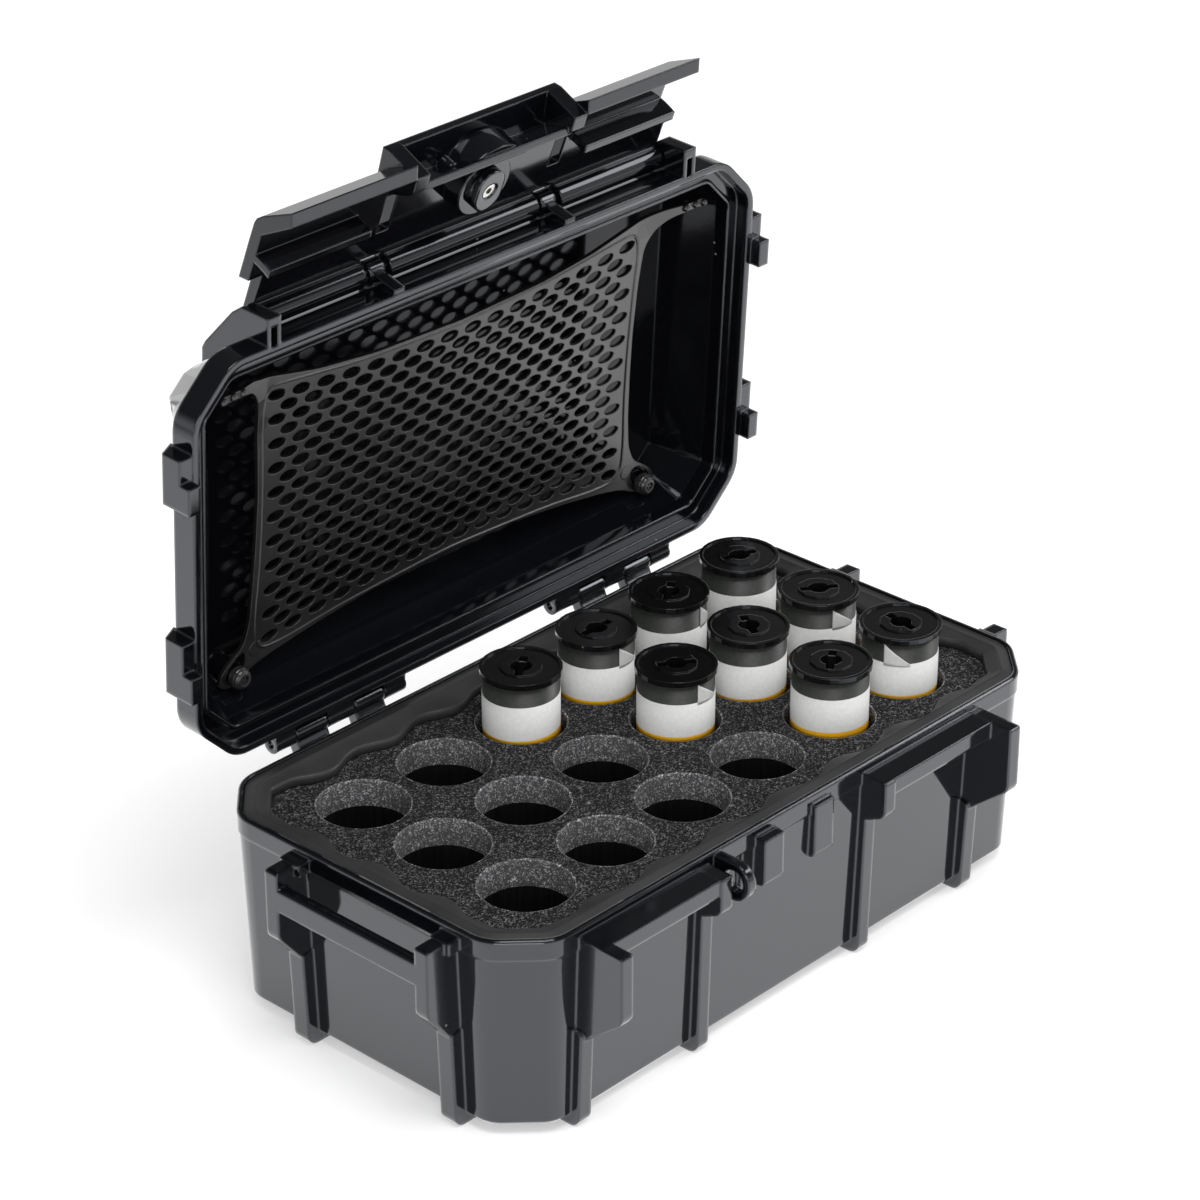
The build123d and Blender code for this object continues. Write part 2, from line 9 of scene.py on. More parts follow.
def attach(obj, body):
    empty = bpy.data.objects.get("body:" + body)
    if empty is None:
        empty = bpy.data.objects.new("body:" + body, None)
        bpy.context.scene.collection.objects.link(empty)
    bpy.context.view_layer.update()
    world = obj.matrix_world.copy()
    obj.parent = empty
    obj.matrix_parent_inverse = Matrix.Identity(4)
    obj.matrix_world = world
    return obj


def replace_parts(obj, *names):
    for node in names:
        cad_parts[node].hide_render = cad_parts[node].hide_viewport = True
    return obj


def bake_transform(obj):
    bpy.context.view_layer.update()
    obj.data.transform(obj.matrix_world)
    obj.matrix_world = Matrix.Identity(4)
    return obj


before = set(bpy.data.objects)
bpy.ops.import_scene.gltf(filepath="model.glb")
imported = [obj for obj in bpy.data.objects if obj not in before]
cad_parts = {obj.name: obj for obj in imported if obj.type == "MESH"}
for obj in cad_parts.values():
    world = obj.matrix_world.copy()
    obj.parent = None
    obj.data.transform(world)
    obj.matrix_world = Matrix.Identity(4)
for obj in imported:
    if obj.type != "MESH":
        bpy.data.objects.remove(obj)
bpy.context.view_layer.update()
print("film case: frame loaded,", len(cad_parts), "nodes")

mm = 0.001

# Sizes that the dressed pieces share with the case itself.
case = {
    "rimX": 117.2 * mm, "rimY": 64.2 * mm, "cornerLeg": 14.8 * mm, "cornerRound": 12.0 * mm,
    "foamTop": 61.0 * mm, "layerDepth": 9.0 * mm, "rollBottom": 15.2 * mm, "floorTop": 5.15 * mm,
    "pitchX": 33.0 * mm, "pitchY": 32.7 * mm, "socketR": 13.8 * mm, "wallDraft": math.radians(2.0),
    "hingeY": 67.9 * mm, "hingeZ": 68.3 * mm, "lidOpen": math.radians(87.0), "mate": 65.7 * mm,
}


# Feeds a node's inputs: an output of another node is linked, and a plain value is set.
def feed(tree, node, sources):
    for socket, source in sources:
        if hasattr(source, "is_output"):
            tree.links.new(source, node.inputs[socket])
        else:
            node.inputs[socket].default_value = source


def addNode(tree, kind, sources=(), **settings):
    node = tree.nodes.new(kind)
    for key, value in settings.items():
        setattr(node, key, value)
    feed(tree, node, sources)
    return node


def addMath(tree, operation, first, second=0.0):
    return addNode(tree, "ShaderNodeMath", [(0, first), (1, second)], operation=operation).outputs[0]


def addRange(tree, value, fromPair, toPair, kind="LINEAR"):
    return addNode(tree, "ShaderNodeMapRange", [
        ("Value", value), ("From Min", fromPair[0]), ("From Max", fromPair[1]),
        ("To Min", toPair[0]), ("To Max", toPair[1])], interpolation_type=kind).outputs[0]


# Mixes two colours. Sockets 6 and 7 of the node take them, and output 2 gives the mix.
def mixColours(tree, share, first, second):
    first, second = (colour if hasattr(colour, "is_output") else (*colour, 1) for colour in (first, second))
    return addNode(tree, "ShaderNodeMix", [(0, share), (6, first), (7, second)], data_type="RGBA").outputs[2]


# Camera, lights and floor.

def addCamera():
    view = {"place": (-0.76706, -0.69803, 0.65566), "lookAt": (0.05687, 0.06868, 0.061),
            "lens": 120.0, "film": 36.0, "nearest": 0.05, "farthest": 20.0}
    data = bpy.data.cameras.new("caseCamera")
    data.lens = view["lens"]
    data.sensor_fit = "HORIZONTAL"
    data.sensor_width = view["film"]
    data.clip_start = view["nearest"]
    data.clip_end = view["farthest"]
    camera = bpy.data.objects.new("caseCamera", data)
    aim = Vector(view["lookAt"]) - Vector(view["place"])
    camera.location = view["place"]
    camera.rotation_euler = aim.to_track_quat("-Z", "Y").to_euler()
    bpy.context.scene.collection.objects.link(camera)
    bpy.context.scene.camera = camera


def addSoftbox(name, place, size, power, aimAt):
    data = bpy.data.lights.new(name, "AREA")
    data.shape = "RECTANGLE"
    data.size, data.size_y = size
    data.energy = power
    light = bpy.data.objects.new(name, data)
    light.location = place
    light.rotation_euler = (Vector(aimAt) - Vector(place)).to_track_quat("-Z", "Y").to_euler()
    bpy.context.scene.collection.objects.link(light)


def addStudio():
    studio = {
        "white": (1, 1, 1, 1), "sky": 0.62, "seen": 1.0,
        "fadeFrom": (0.06, 0.42), "fadeTo": (1.0, 0.10),  # the backdrop in mirrors, by its height
        "floor": 3.0, "floorColour": (0.80, 0.80, 0.80, 1), "lift": 0.38,
        "glowFrom": (0.25, 1.3), "glowTo": (0.90, 0.12),  # the floor in mirrors, by its distance
    }
    # Name, place, size, power and aim.
    softboxes = [
        ("topBox", (-0.15, -0.35, 1.25), (0.55, 0.55), 6.5, (0, 0, 0.05)),
        ("sideBox", (0.95, -0.55, 0.75), (0.45, 0.45), 4.0, (0, 0, 0.1)),
        ("frontBox", (-1.10, -1.00, 0.52), (0.70, 0.45), 5.0, (0, 0, 0.1)),
    ]
    # Mirrors see a backdrop that is white at table level and darkens overhead.
    world = bpy.data.worlds.new("paleStudio")
    bpy.context.scene.world = world
    world.use_nodes = True
    tree = world.node_tree
    tree.nodes.clear()
    rays = addNode(tree, "ShaderNodeLightPath").outputs
    mirror = addMath(tree, "MAXIMUM", rays["Is Glossy Ray"], rays["Is Transmission Ray"])
    place = addNode(tree, "ShaderNodeTexCoord").outputs["Generated"]
    height = addNode(tree, "ShaderNodeSeparateXYZ", [(0, place)]).outputs["Z"]
    fade = addRange(tree, height, studio["fadeFrom"], studio["fadeTo"], "SMOOTHSTEP")
    backdrop, dim, seen = (
        addNode(tree, "ShaderNodeBackground", [("Color", colour), ("Strength", strength)]).outputs[0]
        for colour, strength in ((fade, 1.0), (studio["white"], studio["sky"]), (studio["white"], studio["seen"])))
    unseen = addNode(tree, "ShaderNodeMixShader", [(0, mirror), (1, dim), (2, backdrop)]).outputs[0]
    both = addNode(tree, "ShaderNodeMixShader", [(0, rays["Is Camera Ray"]), (1, unseen), (2, seen)]).outputs[0]
    addNode(tree, "ShaderNodeOutputWorld", [(0, both)])

    mesh = bpy.data.meshes.new("studioFloor")
    half = studio["floor"]
    mesh.from_pydata([(-half, -half, 0), (half, -half, 0), (half, half, 0), (-half, half, 0)], [], [(0, 1, 2, 3)])
    floor = bpy.data.objects.new("studioFloor", mesh)
    bpy.context.scene.collection.objects.link(floor)
    material = bpy.data.materials.new("paleFloor")
    material.use_nodes = True
    tree = material.node_tree
    tree.nodes.clear()
    rays = addNode(tree, "ShaderNodeLightPath").outputs
    place = addNode(tree, "ShaderNodeTexCoord").outputs["Object"]
    reach = addNode(tree, "ShaderNodeVectorMath", [(0, place)], operation="LENGTH").outputs["Value"]
    glow = addRange(tree, reach, studio["glowFrom"], studio["glowTo"], "SMOOTHSTEP")
    mirrored = addMath(tree, "MULTIPLY", rays["Is Glossy Ray"], glow)
    straight = addMath(tree, "MULTIPLY", rays["Is Camera Ray"], studio["lift"])
    shine = addNode(tree, "ShaderNodeEmission", [("Strength", addMath(tree, "ADD", mirrored, straight))]).outputs[0]
    paint = addNode(tree, "ShaderNodeBsdfDiffuse", [("Color", studio["floorColour"])]).outputs[0]
    both = addNode(tree, "ShaderNodeAddShader", [(0, paint), (1, shine)]).outputs[0]
    addNode(tree, "ShaderNodeOutputMaterial", [(0, both)])
    mesh.materials.append(material)

    for softbox in softboxes:
        addSoftbox(*softbox)
    bpy.context.scene.view_settings.view_transform = "Standard"


addCamera()
addStudio()
print("camera and studio ready")


# Effects that the materials share.

def newGroup(name, inputs, output):
    group = bpy.data.node_groups.new(name, "ShaderNodeTree")
    group.interface.new_socket(name="Vector", in_out="INPUT", socket_type="NodeSocketVector")
    for label, value in inputs.items():
        group.interface.new_socket(name=label, in_out="INPUT", socket_type="NodeSocketFloat").default_value = value
    group.interface.new_socket(name=output, in_out="OUTPUT", socket_type="NodeSocketFloat")
    return group, group.nodes.new("NodeGroupInput").outputs, group.nodes.new("NodeGroupOutput")


def noiseIn(group, given, scale, detail):
    sources = [("Vector", given["Vector"]), ("Scale", scale), ("Detail", detail)]
    return addNode(group, "ShaderNodeTexNoise", sources).outputs["Fac"]


# Soft mottling: a slow noise spread between two values, for roughness and tone.
def mottleGroup():
    mottle = {"detail": 4.0, "from": (0.3, 0.7)}
    group, given, result = newGroup("softMottle", {"Scale": 60.0, "Low": 0.2, "High": 0.3}, "Value")
    noise = noiseIn(group, given, given["Scale"], mottle["detail"])
    feed(group, result, [("Value", addRange(group, noise, mottle["from"], (given["Low"], given["High"])))])
    return group


# Fine dust: a few small pale specks.
def dustGroup():
    dust = {"speck": 0.16}
    group, given, result = newGroup("fineDust", {"Scale": 500.0, "Amount": 0.06}, "Mask")
    cells = addNode(group, "ShaderNodeTexVoronoi", [("Vector", given["Vector"]), ("Scale", given["Scale"])]).outputs
    pick = addNode(group, "ShaderNodeSeparateColor", [("Color", cells["Color"])]).outputs[0]
    rare = addMath(group, "LESS_THAN", pick, given["Amount"])
    near = addMath(group, "LESS_THAN", cells["Distance"], dust["speck"])
    feed(group, result, [("Mask", addMath(group, "MULTIPLY", rare, near))])
    return group


# Grain: fine uneven height for a bump.
def grainGroup():
    grain = {"fineDetail": 3.0, "coarseDetail": 2.0}
    group, given, result = newGroup("fineGrain", {"Scale": 900.0, "Coarse": 90.0, "Blend": 0.3}, "Height")
    fine = noiseIn(group, given, given["Scale"], grain["fineDetail"])
    coarse = noiseIn(group, given, given["Coarse"], grain["coarseDetail"])
    # Sockets 2 and 3 of the node take plain numbers.
    mix = addNode(group, "ShaderNodeMix", [(0, given["Blend"]), (2, fine), (3, coarse)])
    feed(group, result, [("Height", mix.outputs[0])])
    return group


# Marks the hollow of the lid, by turning the open lid shut and measuring in from its rim.
def hollowGroup():
    hollow = {"flare": 0.49, "reachX": 115.1 * mm, "reachY": 62.1 * mm, "mouth": 8.8 * mm, "back": 25.7 * mm}
    group, given, result = newGroup("lidHollow", {}, "Mask")
    shut = addNode(group, "ShaderNodeVectorRotate", [
        ("Vector", given["Vector"]), ("Center", (0, case["hingeY"], case["hingeZ"])), ("Angle", case["lidOpen"])],
        rotation_type="X_AXIS")
    spot = addNode(group, "ShaderNodeSeparateXYZ", [("Vector", shut.outputs[0])]).outputs
    depth = addMath(group, "SUBTRACT", spot["Z"], case["mate"])
    slant = addMath(group, "MULTIPLY", depth, hollow["flare"])
    mask = addMath(group, "MULTIPLY", addMath(group, "GREATER_THAN", depth, hollow["mouth"]),
                   addMath(group, "LESS_THAN", depth, hollow["back"]))
    for axis, reach in (("X", "reachX"), ("Y", "reachY")):
        wide = addMath(group, "ADD", addMath(group, "ABSOLUTE", spot[axis]), slant)
        mask = addMath(group, "MULTIPLY", mask, addMath(group, "LESS_THAN", wide, hollow[reach]))
    feed(group, result, [("Mask", mask)])
    return group


effects = {"mottle": mottleGroup(), "dust": dustGroup(), "grain": grainGroup(), "hollow": hollowGroup()}


def useEffect(tree, name, vector, **values):
    node = addNode(tree, "ShaderNodeGroup", node_tree=effects[name])
    feed(tree, node, [("Vector", vector), *values.items()])
    return node.outputs[0]


# Materials. Each function gives one kind of surface, and the table after them gives each finish its values.

def newMaterial(name):
    material = bpy.data.materials.new(name)
    material.use_nodes = True
    tree = material.node_tree
    return material, tree, tree.nodes["Principled BSDF"], tree.nodes.new("ShaderNodeTexCoord").outputs["Object"]


# Edges that catch the light as if they were rounded.
def roundEdges(tree, radius, samples):
    return addNode(tree, "ShaderNodeBevel", [("Radius", radius)], samples=samples).outputs["Normal"]


def addBump(tree, height, strength, depth, normal=None):
    sources = [("Height", height), ("Strength", strength), ("Distance", depth)]
    if normal is not None:
        sources.append(("Normal", normal))
    return addNode(tree, "ShaderNodeBump", sources).outputs["Normal"]


# A coordinate that is squeezed along some axes, so that a pattern on it is drawn out there.
def drawOut(tree, place, scale):
    return addNode(tree, "ShaderNodeMapping", [("Vector", place), ("Scale", scale)]).outputs[0]


# Moulded plastic with softened edges, a faint waviness and specks of dust.
def mouldedPlastic(name, colour, roughness, edge, wave, dust, specular=0.5):
    look = {"toneScale": 35.0, "smoother": 0.8, "rougher": 1.35, "dustScale": 420.0,
            "dustColour": (0.22, 0.22, 0.23), "fineScale": 700.0, "waveScale": 28.0, "waveShare": 0.85,
            "bumpDeep": 0.4 * mm, "edgeSamples": 8, "tint": (0.90, 0.93, 1.0, 1)}
    material, tree, shader, place = newMaterial(name)
    specks = useEffect(tree, "dust", place, Scale=look["dustScale"], Amount=dust)
    waves = useEffect(tree, "grain", place, Scale=look["fineScale"], Coarse=look["waveScale"],
                      Blend=look["waveShare"])
    feed(tree, shader, [
        ("Base Color", mixColours(tree, specks, colour, look["dustColour"])),
        ("Roughness", useEffect(tree, "mottle", place, Scale=look["toneScale"],
                                Low=roughness * look["smoother"], High=roughness * look["rougher"])),
        ("Normal", addBump(tree, waves, wave, look["bumpDeep"], roundEdges(tree, edge, look["edgeSamples"]))),
        ("Specular IOR Level", specular), ("Specular Tint", look["tint"])])
    return material


# The lid: glossy outside, and duller in its hollow, where little light gets in. The export takes no linked
# specular level, so the exported lid has one level all over.
def lidPlastic(name, colour, roughness, edge, wave, dust, specular, dull):
    material = mouldedPlastic(name, colour, roughness, edge, wave, dust, specular)
    tree = material.node_tree
    inside = useEffect(tree, "hollow", addNode(tree, "ShaderNodeTexCoord").outputs["Object"])
    level = addRange(tree, inside, (0.0, 1.0), (specular, dull))
    feed(tree, tree.nodes["Principled BSDF"], [("Specular IOR Level", level)])
    return material


# Rubber: satin, slightly uneven in tone, with a fine skin.
def rubberSkin(name, colour, roughness, skin, edge, specular=0.5):
    look = {"toneScale": 22.0, "smoother": 0.06, "rougher": 0.08, "shadeScale": 45.0, "paler": 1.5,
            "fineScale": 1500.0, "coarseScale": 60.0, "coarseShare": 0.35, "bumpDeep": 0.3 * mm, "edgeSamples": 6}
    material, tree, shader, place = newMaterial(name)
    shade = useEffect(tree, "mottle", place, Scale=look["shadeScale"], Low=0.0, High=1.0)
    grain = useEffect(tree, "grain", place, Scale=look["fineScale"], Coarse=look["coarseScale"],
                      Blend=look["coarseShare"])
    feed(tree, shader, [
        ("Base Color", mixColours(tree, shade, colour, [c * look["paler"] for c in colour])),
        ("Roughness", useEffect(tree, "mottle", place, Scale=look["toneScale"],
                                Low=roughness - look["smoother"], High=roughness + look["rougher"])),
        ("Normal", addBump(tree, grain, skin, look["bumpDeep"], roundEdges(tree, edge, look["edgeSamples"]))),
        ("Specular IOR Level", specular)])
    return material


# Plain steel, drawn along its length.
def drawnSteel(name):
    look = {"drawn": (0.04, 1.0, 1.0), "lineScale": 2600.0, "smooth": 0.18, "rough": 0.36, "shadeScale": 900.0,
            "dark": (0.52, 0.51, 0.49), "light": (0.68, 0.67, 0.65)}
    material, tree, shader, place = newMaterial(name)
    along = drawOut(tree, place, look["drawn"])
    shade = useEffect(tree, "mottle", along, Scale=look["shadeScale"], Low=0.0, High=1.0)
    feed(tree, shader, [
        ("Base Color", mixColours(tree, shade, look["dark"], look["light"])),
        ("Roughness", useEffect(tree, "mottle", along, Scale=look["lineScale"],
                                Low=look["smooth"], High=look["rough"])),
        ("Metallic", 1.0)])
    return material


# Small screws, blackened and a little shiny.
def blackSteel(name):
    look = {"toneScale": 900.0, "smooth": 0.22, "rough": 0.38, "shadeScale": 2500.0, "dark": (0.010, 0.010, 0.011),
            "light": (0.022, 0.022, 0.023), "edge": 0.15 * mm, "edgeSamples": 4, "specular": 0.8}
    material, tree, shader, place = newMaterial(name)
    shade = useEffect(tree, "mottle", place, Scale=look["shadeScale"], Low=0.0, High=1.0)
    feed(tree, shader, [
        ("Base Color", mixColours(tree, shade, look["dark"], look["light"])),
        ("Roughness", useEffect(tree, "mottle", place, Scale=look["toneScale"],
                                Low=look["smooth"], High=look["rough"])),
        ("Normal", roundEdges(tree, look["edge"], look["edgeSamples"])), ("Specular IOR Level", look["specular"])])
    return material


# Open foam: a pale-flecked face over a darker, upright-streaked core.
def openFoam(name, dark, light):
    look = {"cell": 2600.0, "fleckFrom": (0.62, 1.0), "clumpScale": 600.0, "clumpLow": 0.1, "bluer": 1.03,
            "core": (0.003, 0.003, 0.0033), "coreLight": (0.009, 0.009, 0.009), "streak": (1.0, 1.0, 0.06),
            "streakScale": 700.0, "seam": 52.0 * mm, "bump": 0.6, "bumpDeep": 0.4 * mm, "roughness": 0.95,
            "specular": 0.15}
    material, tree, shader, place = newMaterial(name)
    cells = addNode(tree, "ShaderNodeTexVoronoi", [("Vector", place), ("Scale", look["cell"])]).outputs["Color"]
    pick = addNode(tree, "ShaderNodeSeparateColor", [("Color", cells)]).outputs[0]
    fleck = addRange(tree, pick, look["fleckFrom"], (0.0, 1.0))
    clump = useEffect(tree, "mottle", place, Scale=look["clumpScale"], Low=look["clumpLow"], High=1.0)
    amount = addMath(tree, "MULTIPLY", fleck, clump)
    face = mixColours(tree, amount, (dark, dark, dark * look["bluer"]), (light, light, light * look["bluer"]))
    upright = drawOut(tree, place, look["streak"])
    streak = useEffect(tree, "mottle", upright, Scale=look["streakScale"], Low=0.0, High=1.0)
    core = mixColours(tree, streak, look["core"], look["coreLight"])
    height = addNode(tree, "ShaderNodeSeparateXYZ", [("Vector", place)]).outputs["Z"]
    feed(tree, shader, [
        ("Base Color", mixColours(tree, addMath(tree, "GREATER_THAN", height, look["seam"]), core, face)),
        ("Normal", addBump(tree, amount, look["bump"], look["bumpDeep"])),
        ("Roughness", look["roughness"]), ("Specular IOR Level", look["specular"])])
    return material


# Paper with a faint fibre, for the backing, the labels and the band.
def paperSkin(name, colour, fibre, roughness):
    look = {"fibreScale": 900.0, "toneScale": 120.0, "smoother": 0.05, "rougher": 0.08, "fineScale": 2500.0,
            "coarseScale": 200.0, "coarseShare": 0.4, "bump": 0.12, "bumpDeep": 0.2 * mm}
    material, tree, shader, place = newMaterial(name)
    shade = useEffect(tree, "mottle", place, Scale=look["fibreScale"], Low=0.0, High=1.0)
    grain = useEffect(tree, "grain", place, Scale=look["fineScale"], Coarse=look["coarseScale"],
                      Blend=look["coarseShare"])
    feed(tree, shader, [
        ("Base Color", mixColours(tree, shade, colour, fibre)),
        ("Roughness", useEffect(tree, "mottle", place, Scale=look["toneScale"],
                                Low=roughness - look["smoother"], High=roughness + look["rougher"])),
        ("Normal", addBump(tree, grain, look["bump"], look["bumpDeep"]))])
    return material


blackPlastic = (0.0030, 0.0033, 0.0045)
finishes = {
    "shell": mouldedPlastic("glossBlackPlastic", blackPlastic, 0.07, 1.3 * mm, 0.05, 0.006, specular=0.75),
    "lidShell": lidPlastic("lidPlastic", blackPlastic, 0.07, 1.3 * mm, 0.05, 0.006, specular=0.7, dull=0.22),
    "latchShell": mouldedPlastic("latchPlastic", blackPlastic, 0.09, 0.9 * mm, 0.06, 0.010, specular=0.52),
    "spool": mouldedPlastic("spoolPlastic", (0.0045, 0.0045, 0.0048), 0.17, 0.3 * mm, 0.05, 0.015),
    "liner": rubberSkin("linerRubber", (0.024, 0.024, 0.025), 0.46, 0.10, 0.3 * mm),
    "net": rubberSkin("netRubber", (0.0045, 0.0044, 0.0043), 0.32, 0.08, 0.45 * mm, specular=0.85),
    "steel": drawnSteel("drawnSteel"),
    "blackSteel": blackSteel("blackSteel"),
    "foam": openFoam("boredFoam", 0.012, 0.25),
    # The socket walls: the same foam with a paler face, painted light for the light that the walls catch.
    "paintedLitFoam": openFoam("paintedLitFoam", 0.085, 0.70),
    "backing": paperSkin("backingPaper", (0.028, 0.031, 0.027), (0.042, 0.046, 0.041), 0.42),
    # Painted shade: the walls and floor of each roll's well are painted near black, darker than the spool and
    # nearly unreflecting, for the shade inside the well.
    "deep": rubberSkin("deepShade", (0.0010, 0.0010, 0.0010), 0.80, 0.05, 0.1 * mm, specular=0.1),
    "label": paperSkin("labelPaper", (0.68, 0.68, 0.67), (0.75, 0.75, 0.74), 0.55),
    "band": paperSkin("bandPaper", (0.94, 0.47, 0.010), (0.98, 0.53, 0.015), 0.5),
}


def dress(finish, *nodes):
    for node in nodes:
        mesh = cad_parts[node].data
        mesh.materials.clear()
        mesh.materials.append(finishes[finish])


dress("shell", "base_shell", "lock_cam")
dress("lidShell", "lid_shell")
dress("latchShell", "latch")
dress("steel", "hinge_pin_left", "hinge_pin_right", "latch_pin", "lock_plug", "cam_screw")
print("materials ready")


# Mesh helpers.

def newPiece(mesh, finishNames, body=None):
    for finish in finishNames:
        mesh.materials.append(finishes[finish])
    piece = bpy.data.objects.new(mesh.name, mesh)
    bpy.context.scene.collection.objects.link(piece)
    if body:
        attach(piece, body)
    return piece


def smoothMesh(name, vertices, faces):
    mesh = bpy.data.meshes.new(name)
    mesh.from_pydata([tuple(v) for v in vertices], [], faces)
    mesh.validate()
    for face in mesh.polygons:
        face.use_smooth = True
    return mesh


def closeMesh(bm, name):
    mesh = bpy.data.meshes.new(name)
    bm.to_mesh(mesh)
    bm.free()
    return mesh


def onCircle(cx, cy, radius, angle, z):
    return (cx + radius * math.cos(angle), cy + radius * math.sin(angle), z)


def smoothShare(share):
    share = min(1.0, max(0.0, share))
    return share * share * (3 - 2 * share)


# Points round the rim outline with their inward normals, always the same number in the same order.
def rimPoints(longSteps=96, shortSteps=44, cutSteps=6, arcSteps=8):
    x, y, leg, r = case["rimX"], case["rimY"], case["cornerLeg"], case["cornerRound"]
    corners = [(x - leg, -y), (x, -y + leg), (x, y - leg), (x - leg, y),
               (-x + leg, y), (-x, y - leg), (-x, -y + leg), (-x + leg, -y)]
    sideSteps = [cutSteps, shortSteps, cutSteps, longSteps] * 2
    turn = math.radians(360 / len(corners))
    tangent = r * math.tan(turn / 2)
    points = []
    for i, steps in enumerate(sideSteps):
        before, here, after = (Vector(corners[(i + k) % len(corners)]) for k in (-1, 0, 1))
        inDir, outDir = (here - before).normalized(), (after - here).normalized()
        start, end = here - inDir * tangent, here + outDir * tangent
        centre = start + Vector((-inDir.y, inDir.x)) * r
        firstAngle = math.atan2(start.y - centre.y, start.x - centre.x)
        for k in range(arcSteps):
            angle = firstAngle + turn * k / arcSteps
            outward = Vector((math.cos(angle), math.sin(angle)))
            points.append((centre + outward * r, -outward))
        nextStart = after - outDir * tangent
        normal = Vector((-outDir.y, outDir.x))
        points += [(end.lerp(nextStart, k / steps), normal) for k in range(steps)]
    return points


# Stacks closed rings of the same count into one closed skin with flat ends.
def ringSkin(rings):
    count = len(rings[0])
    vertices = [point for ring in rings for point in ring]
    faces = []
    for first in range(0, len(vertices) - count, count):
        second = first + count
        faces += [(first + k, first + (k + 1) % count, second + (k + 1) % count, second + k) for k in range(count)]
    faces.append(tuple(reversed(range(count))))
    faces.append(tuple(range(len(vertices) - count, len(vertices))))
    return vertices, faces


# Rubber liner, with the bead of the seal and the scalloped lip.
def makeLiner():
    liner = {
        "outer": 1.85 * mm, "top": 65.1 * mm, "low": 62.2 * mm, "bead": 5.4 * mm, "beadHigh": 0.3 * mm,
        "wallOut": 3.6 * mm, "wallIn": 6.2 * mm, "floorThick": 2.0 * mm, "under": 61.15 * mm,
        "lipFront": 8.8 * mm, "lipSide": 9.6 * mm, "lipBack": 12.4 * mm, "lipCorner": 9.4 * mm,
        "lipHigh": 64.2 * mm, "wave": 26.3 * mm, "waveDeep": 1.9 * mm, "waveFade": 9 * mm,
        "waveReachSide": 42 * mm, "waveReachLong": 94 * mm, "squareOn": 0.95,
    }

    def lipInset(point, normal):
        if abs(normal.x) > liner["squareOn"]:
            base, along, reach = liner["lipSide"], point.y, liner["waveReachSide"]
        elif abs(normal.y) > liner["squareOn"]:
            base = liner["lipFront"] if normal.y > 0 else liner["lipBack"]
            along, reach = point.x, liner["waveReachLong"]
        else:
            return liner["lipCorner"]
        inset = base + liner["waveDeep"] * math.cos(2 * math.pi * along / liner["wave"])
        fade = smoothShare((reach - abs(along)) / liner["waveFade"])
        return liner["lipCorner"] + (inset - liner["lipCorner"]) * fade

    # Insets from the rim and heights, from the foot of the inner wall over the lip, the bead and the rim
    # to the foot of the outer wall.
    def profile(lip):
        lean = math.tan(case["wallDraft"])
        wallIn, wallOut, low, bead, outer = (liner[key] for key in ("wallIn", "wallOut", "low", "bead", "outer"))
        top, lipHigh, floor, thick = liner["top"], liner["lipHigh"], case["floorTop"], liner["floorThick"]
        return [
            (wallIn + (case["foamTop"] - floor - thick) * lean, floor + thick), (wallIn, liner["under"]),
            (lip - 0.2 * mm, liner["under"]), (lip + 0.25 * mm, 61.5 * mm), (lip + 0.25 * mm, 63.2 * mm),
            (lip + 0.05 * mm, lipHigh - 0.35 * mm), (lip - 0.45 * mm, lipHigh - 0.02 * mm),
            (lip - 1.2 * mm, lipHigh + 0.05 * mm), (max(bead + 0.55 * mm, lip - 3.4 * mm), top - 0.15 * mm),
            (bead + 0.35 * mm, top), (bead, top + liner["beadHigh"]), (bead - 0.45 * mm, top),
            (outer + 0.3 * mm, top), (outer, top - 0.3 * mm), (outer, low), (wallOut, low),
            (wallOut + (62 * mm - floor) * lean, floor),
        ]

    # Each point of the rim gives one column of spots, and each level of the columns is one ring.
    columns = []
    for point, normal in rimPoints():
        spots = [(point + normal * inset, height) for inset, height in profile(lipInset(point, normal))]
        columns.append([(spot.x, spot.y, height) for spot, height in spots])
    mesh = smoothMesh("linerBoot", *ringSkin(list(zip(*columns))))
    bm = bmesh.new()
    bm.from_mesh(mesh)
    bmesh.ops.recalc_face_normals(bm, faces=bm.faces)
    bm.to_mesh(mesh)
    bm.free()
    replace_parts(newPiece(mesh, ["liner"], "base"), "rubber_liner")
